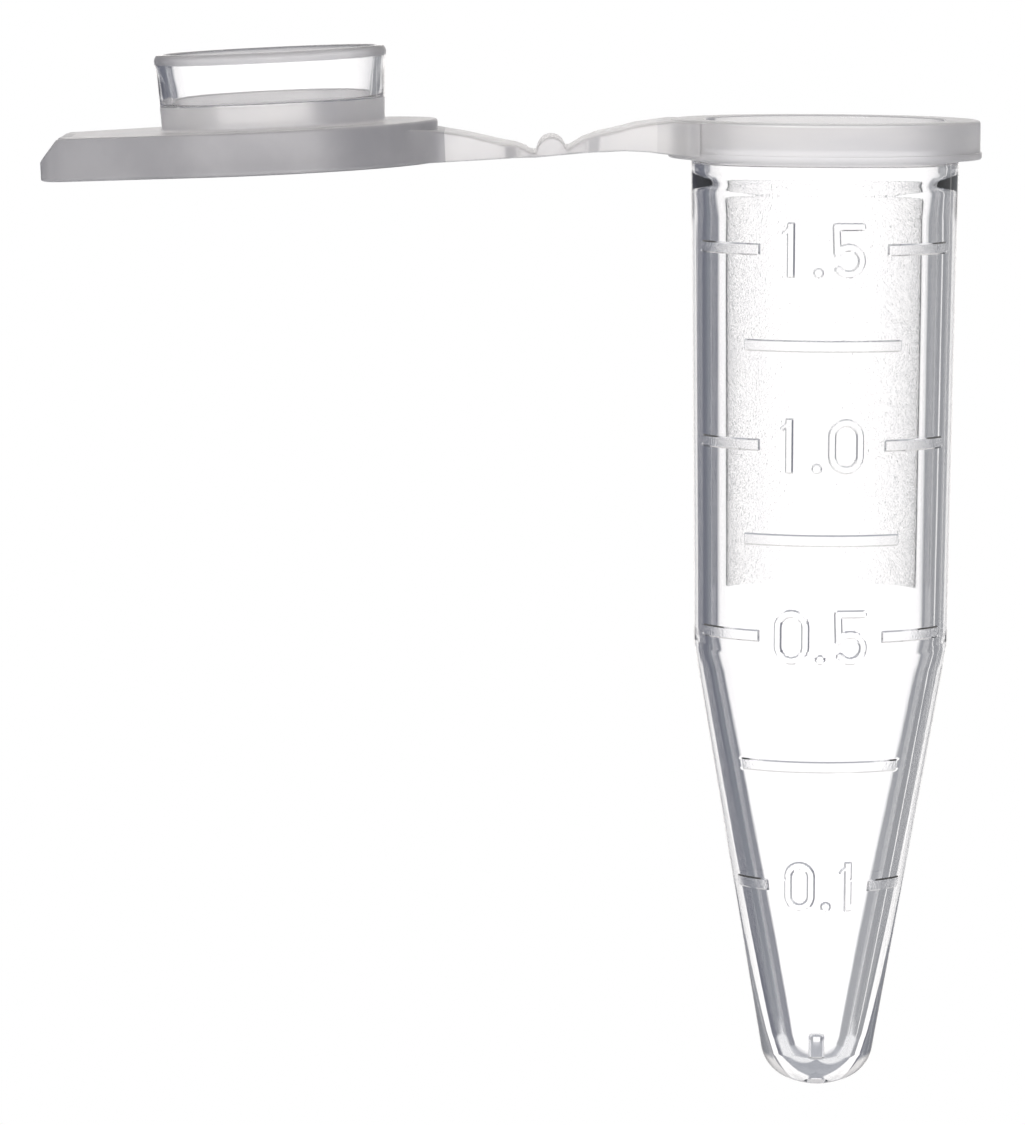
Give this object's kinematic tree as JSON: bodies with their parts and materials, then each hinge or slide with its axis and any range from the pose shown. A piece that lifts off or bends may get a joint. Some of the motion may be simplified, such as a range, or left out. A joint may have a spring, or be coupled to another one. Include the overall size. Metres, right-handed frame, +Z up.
{
  "type": "microcentrifuge tube",
  "caption": "Small conical plastic sample tube with a collar, raised volume marks, a frosted writing panel and a snap-in plug lid on a double-fold living hinge, lid open.",
  "frame": {"origin": "on the tube's axis, in the plane of the collar's underside, where the tube hangs in a rack hole", "axes": "+Z up along the tube's axis, -X towards the open lid, -Y towards the raised graduations"},
  "size_m": [0.0377, 0.0132, 0.0421],
  "materials": {
    "natural_wall": "glossy natural polypropylene, thin and nearly clear",
    "milky_rim": "glossy natural polypropylene, thick and milky",
    "raised_marks": "raised natural polypropylene",
    "frosted_panel": "finely frosted natural polypropylene"
  },
  "bodies": {
    "tube": {"mouth_rim": "natural_wall", "rim_collar": "milky_rim", "tube_barrel": "natural_wall", "tube_cone": "natural_wall", "tube_tip": "natural_wall", "gate_nub": "natural_wall", "full_volume_bars": "raised_marks", "half_volume_bars": "raised_marks", "numeral_1_5": "raised_marks", "numeral_1_0": "raised_marks", "numeral_0_5": "raised_marks", "numeral_0_1": "raised_marks", "writing_panel": "frosted_panel", "tube_strap": "milky_rim", "tube_fold_web": "milky_rim"},
    "link": {"hinge_link": "milky_rim", "hinge_bead": "milky_rim"},
    "lid": {"lid_fold_web": "milky_rim", "lid_strap": "milky_rim", "lid_disc": "milky_rim", "thumb_tab": "milky_rim", "plug_floor": "natural_wall", "plug_skirt": "natural_wall", "plug_lip": "natural_wall"}
  },
  "joints": [
    {"name": "tube_fold", "type": "hinge", "parent": "tube", "child": "link", "pos_m": [-0.0098, 0, 0.00043], "axis": [0, 1, 0], "range_deg": [-30, 93], "deforming": ["tube_fold_web"]},
    {"name": "lid_fold", "type": "hinge", "parent": "link", "child": "lid", "pos_m": [-0.01232, 0, 0.0003], "axis": [0, 1, 0], "range_deg": [-20, 90], "deforming": ["lid_fold_web"]}
  ]
}
